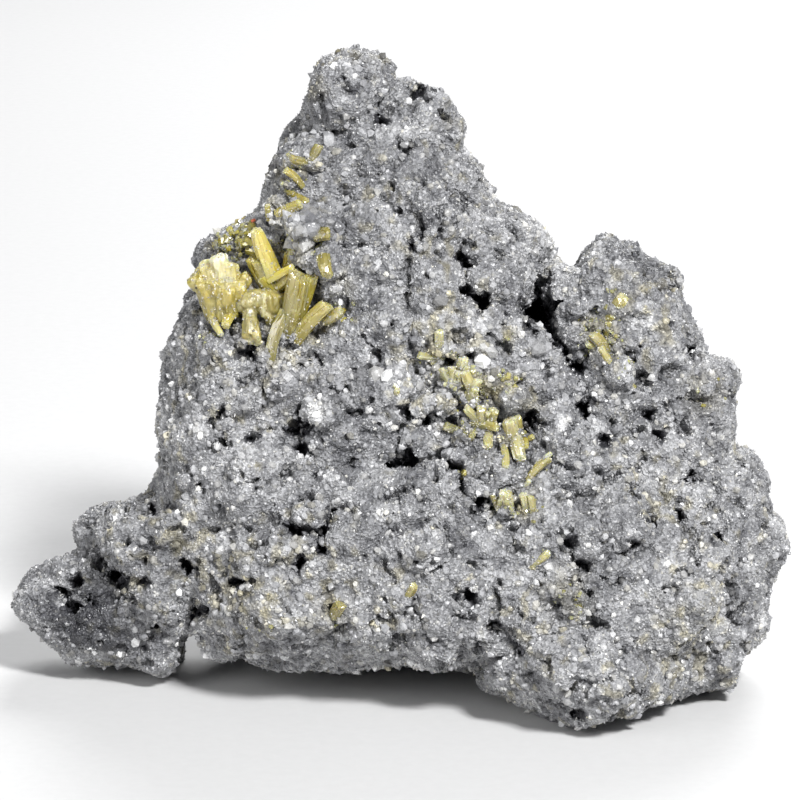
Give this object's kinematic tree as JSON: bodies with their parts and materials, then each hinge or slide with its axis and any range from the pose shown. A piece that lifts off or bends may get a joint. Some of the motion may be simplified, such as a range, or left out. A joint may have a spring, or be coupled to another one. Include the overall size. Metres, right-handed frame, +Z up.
{
  "type": "mimetite crystal specimen on drusy quartz matrix",
  "caption": "Mineral specimen: yellow six-sided mimetite prisms seated in pockets and seams of a rough, sugary grey drusy quartz matrix that stands on its own base.",
  "frame": {"origin": "bottom centre of the specimen's bounding box, on the surface that it stands on", "axes": "+Z up, -Y the side that the broad face with the crystals looks to, +X to the right of that face"},
  "size_m": [0.0666, 0.0379, 0.055],
  "materials": {
    "quartz_matrix": "rough and sparkling: sugary drusy quartz, cool grey with pale grains and dark hollows",
    "mimetite": "resinous, translucent, with bright glints on the prism faces"
  },
  "bodies": {
    "root": {"matrix": "quartz_matrix", "mimetite_pocket_cluster": "mimetite", "mimetite_above_pocket": "mimetite", "mimetite_beside_pocket": "mimetite", "mimetite_near_peak": "mimetite", "mimetite_peak_blade": "mimetite", "mimetite_seam_top": "mimetite", "mimetite_seam_chip": "mimetite", "mimetite_seam_fan": "mimetite", "mimetite_seam_sheaf": "mimetite", "mimetite_seam_blocks": "mimetite", "mimetite_seam_stub": "mimetite", "mimetite_seam_blade": "mimetite", "mimetite_seam_foot": "mimetite", "mimetite_seam_pair": "mimetite", "mimetite_middle_chip": "mimetite", "mimetite_lobe_block": "mimetite", "mimetite_lobe_sheaf": "mimetite", "mimetite_lobe_needle": "mimetite", "mimetite_low_left_block": "mimetite", "mimetite_low_middle_chip": "mimetite", "mimetite_low_right_prism": "mimetite", "mimetite_low_right_blade": "mimetite"}
  },
  "joints": []
}
